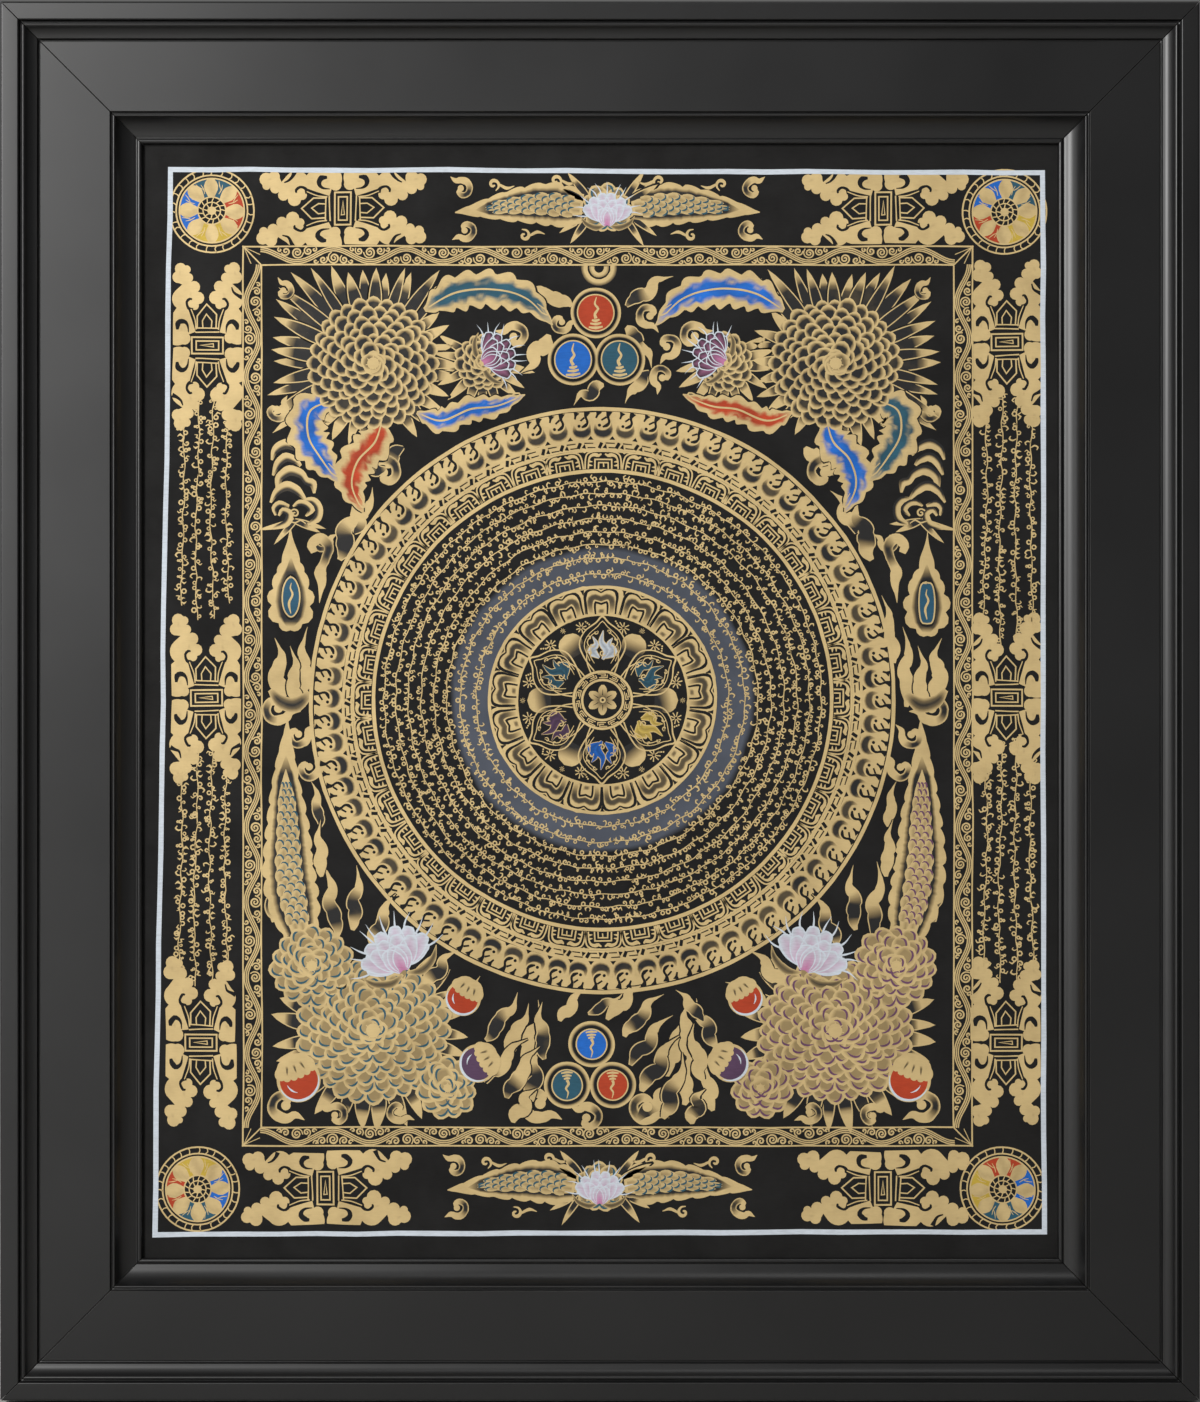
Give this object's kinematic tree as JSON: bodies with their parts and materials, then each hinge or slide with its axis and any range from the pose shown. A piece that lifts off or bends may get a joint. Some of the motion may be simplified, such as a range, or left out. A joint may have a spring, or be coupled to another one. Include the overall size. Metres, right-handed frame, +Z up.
{
  "type": "thangka painting in a picture frame",
  "caption": "Painted cloth with a round mandala, held flat in a wide mitred black frame that hangs on a wall.",
  "frame": {"origin": "middle of the top rail's back face, where the frame hangs on the wall", "axes": "+Z up, +X to the viewer's right, -Y out of the painted face; the back lies in the plane Y = 0"},
  "size_m": [0.624, 0.03, 0.728],
  "materials": {
    "painted_cloth": "cotton with a matte black ground, gold and colours",
    "black_frame": "satin black lacquer on a wooden moulding"
  },
  "bodies": {
    "root": {"thangka_cloth": "painted_cloth", "rail_top": "black_frame", "rail_bottom": "black_frame", "rail_left": "black_frame", "rail_right": "black_frame"}
  },
  "joints": []
}
